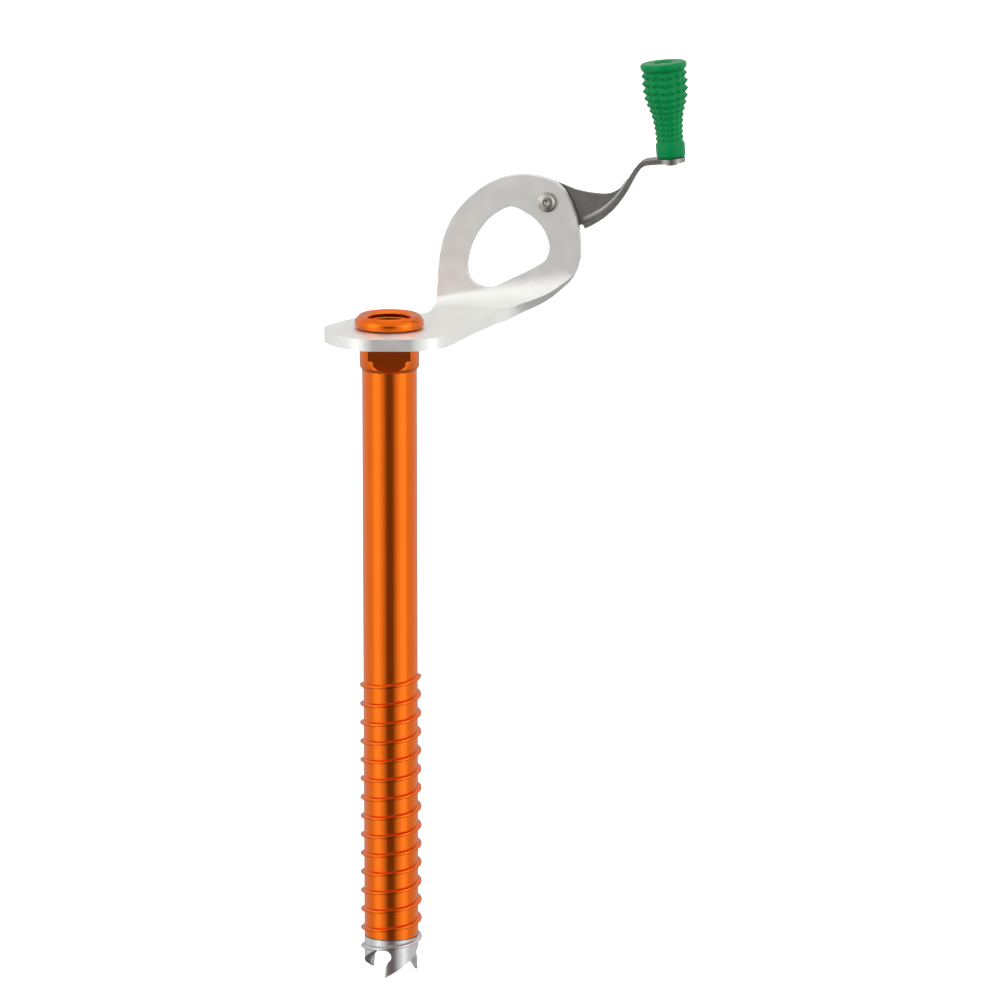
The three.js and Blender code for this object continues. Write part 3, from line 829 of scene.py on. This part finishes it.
def studio_world():
    """White to the eye; reflected, two broad soft sides with a dark gap in front."""
    world = bpy.data.worlds.new("studio")
    bpy.context.scene.world = world
    world.use_nodes = True
    tree = world.node_tree
    nodes, links = tree.nodes, tree.links
    nodes.clear()
    direction = nodes.new("ShaderNodeTexCoord").outputs["Generated"]

    level = nodes.new("ShaderNodeVectorMath")
    level.operation = "MULTIPLY"
    level.inputs[1].default_value = (1, 1, 0)
    links.new(direction, level.inputs[0])
    unit = nodes.new("ShaderNodeVectorMath")
    unit.operation = "NORMALIZE"
    links.new(level.outputs[0], unit.inputs[0])
    bearing = nodes.new("ShaderNodeSeparateXYZ")
    links.new(unit.outputs[0], bearing.inputs[0])
    ramp = horizon_ramp(nodes)
    links.new(ranged(tree, bearing.outputs["Y"], -1, 1), ramp.inputs["Fac"])

    height = nodes.new("ShaderNodeSeparateXYZ")
    links.new(direction, height.inputs[0])
    sky = nodes.new("ShaderNodeMix")
    sky.data_type = "RGBA"
    sky.inputs["B"].default_value = (SKY_LEVEL, SKY_LEVEL, SKY_LEVEL, 1)
    links.new(ranged(tree, height.outputs["Z"], 0.12, 0.6), sky.inputs["Factor"])
    links.new(ramp.outputs["Color"], sky.inputs["A"])
    lit = nodes.new("ShaderNodeVectorMath")
    lit.operation = "SCALE"
    links.new(sky.outputs["Result"], lit.inputs[0])
    links.new(ranged(tree, height.outputs["Z"], -0.75, -0.15, 0.35, 1), lit.inputs["Scale"])

    reflected = background(nodes, STUDIO_STRENGTH)
    links.new(lit.outputs[0], reflected.inputs["Color"])
    seen = background(nodes, 1.0)
    mix = nodes.new("ShaderNodeMixShader")
    links.new(nodes.new("ShaderNodeLightPath").outputs["Is Camera Ray"], mix.inputs["Fac"])
    links.new(reflected.outputs[0], mix.inputs[1])
    links.new(seen.outputs[0], mix.inputs[2])
    links.new(mix.outputs[0], nodes.new("ShaderNodeOutputWorld").inputs[0])


def softbox(name, place, aim, width, height, power):
    light = bpy.data.lights.new(name, "AREA")
    light.shape = "RECTANGLE"
    light.size = width
    light.size_y = height
    light.energy = power
    lamp = bpy.data.objects.new(name, light)
    bpy.context.scene.collection.objects.link(lamp)
    lamp.location = place
    lamp.rotation_euler = (Vector(aim) - Vector(place)).to_track_quat("-Z", "Y").to_euler()


MIDDLE = (0.03, 0, -0.05)
SOFTBOXES = (
    ("left_box", (-1.6, -1.0, 0.9), MIDDLE, 1.4, 1.8, 6.5),
    ("right_box", (1.7, -0.9, 0.8), MIDDLE, 1.4, 1.8, 6),
    ("top_box", (0.1, 0.5, 2.0), (0.03, 0, 0), 1.6, 1.6, 2),
)
CAMERA_AIM = Vector((0.03576, 0, -0.05316))
CAMERA_DISTANCE = 2.2
CAMERA_PITCH = math.radians(12.2)
CAMERA_LENS = 243.7
FLOOR_DROP = 0.0005  # below the tooth tips


def lay_floor():
    bm = bmesh.new()
    bmesh.ops.create_circle(bm, cap_ends=True, segments=96, radius=6)
    depth = -sizes().tube_length * MM - FLOOR_DROP
    bmesh.ops.translate(bm, verts=bm.verts, vec=(0, 0, depth))
    floor = add_object("floor", bm)
    finish = Finish("pale_floor", (0.93, 0.93, 0.93), 0.9, 0)
    if finish.is_new:
        finish.vary_roughness(finish.noise(30), 0.85, 0.95)
        finish.shader.inputs["Emission Color"].default_value = (1, 1, 1, 1)
        finish.shader.inputs["Emission Strength"].default_value = 0.55
    floor.data.materials.append(finish.material)
    floor.visible_glossy = False
    floor.visible_diffuse = False


def place_camera():
    camera = bpy.data.cameras.new("camera")
    camera.lens = CAMERA_LENS
    camera.sensor_width = 36
    camera.clip_end = 50
    viewer = bpy.data.objects.new("camera", camera)
    bpy.context.scene.collection.objects.link(viewer)
    towards = Vector((0, -math.cos(CAMERA_PITCH), math.sin(CAMERA_PITCH)))
    viewer.location = CAMERA_AIM + CAMERA_DISTANCE * towards
    viewer.rotation_euler = (math.pi / 2 - CAMERA_PITCH, 0, 0)
    bpy.context.scene.camera = viewer


class ICESCREW_OT_stage(bpy.types.Operator):
    """Lay the pale floor, set the lights and place the camera"""

    bl_idname = "ice_screw.stage"
    bl_label = "Stage"

    def execute(self, context):
        lay_floor()
        studio_world()
        for box in SOFTBOXES:
            softbox(*box)
        place_camera()
        context.scene.view_settings.view_transform = "Standard"
        return {"FINISHED"}


class ICESCREW_PT_panel(bpy.types.Panel):
    """Lists the pieces of the ice screw"""

    bl_idname = "ICESCREW_PT_panel"
    bl_label = "Ice Screw"
    bl_space_type = "VIEW_3D"
    bl_region_type = "UI"
    bl_category = "Ice Screw"

    def draw(self, context):
        for operator in OPERATORS:
            self.layout.operator(operator.bl_idname)
        for group in (context.scene.ice_screw_sizes, context.scene.ice_screw_colours):
            for name in group.__annotations__:
                self.layout.prop(group, name)


OPERATORS = (
    ICESCREW_OT_tube,
    ICESCREW_OT_cutting_tip,
    ICESCREW_OT_head_ring,
    ICESCREW_OT_hanger,
    ICESCREW_OT_crank,
    ICESCREW_OT_rivet,
    ICESCREW_OT_knob,
    ICESCREW_OT_stage,
)
CLASSES = (IceScrewSizes, IceScrewColours, *OPERATORS, ICESCREW_PT_panel)


def register():
    for item in CLASSES:
        bpy.utils.register_class(item)
    bpy.types.Scene.ice_screw_sizes = PointerProperty(type=IceScrewSizes)
    bpy.types.Scene.ice_screw_colours = PointerProperty(type=IceScrewColours)


def unregister():
    del bpy.types.Scene.ice_screw_colours
    del bpy.types.Scene.ice_screw_sizes
    for item in reversed(CLASSES):
        bpy.utils.unregister_class(item)


def main():
    register()
    for operator in OPERATORS:
        group, name = operator.bl_idname.split(".")
        getattr(getattr(bpy.ops, group), name)()


if __name__ == "__main__":
    main()
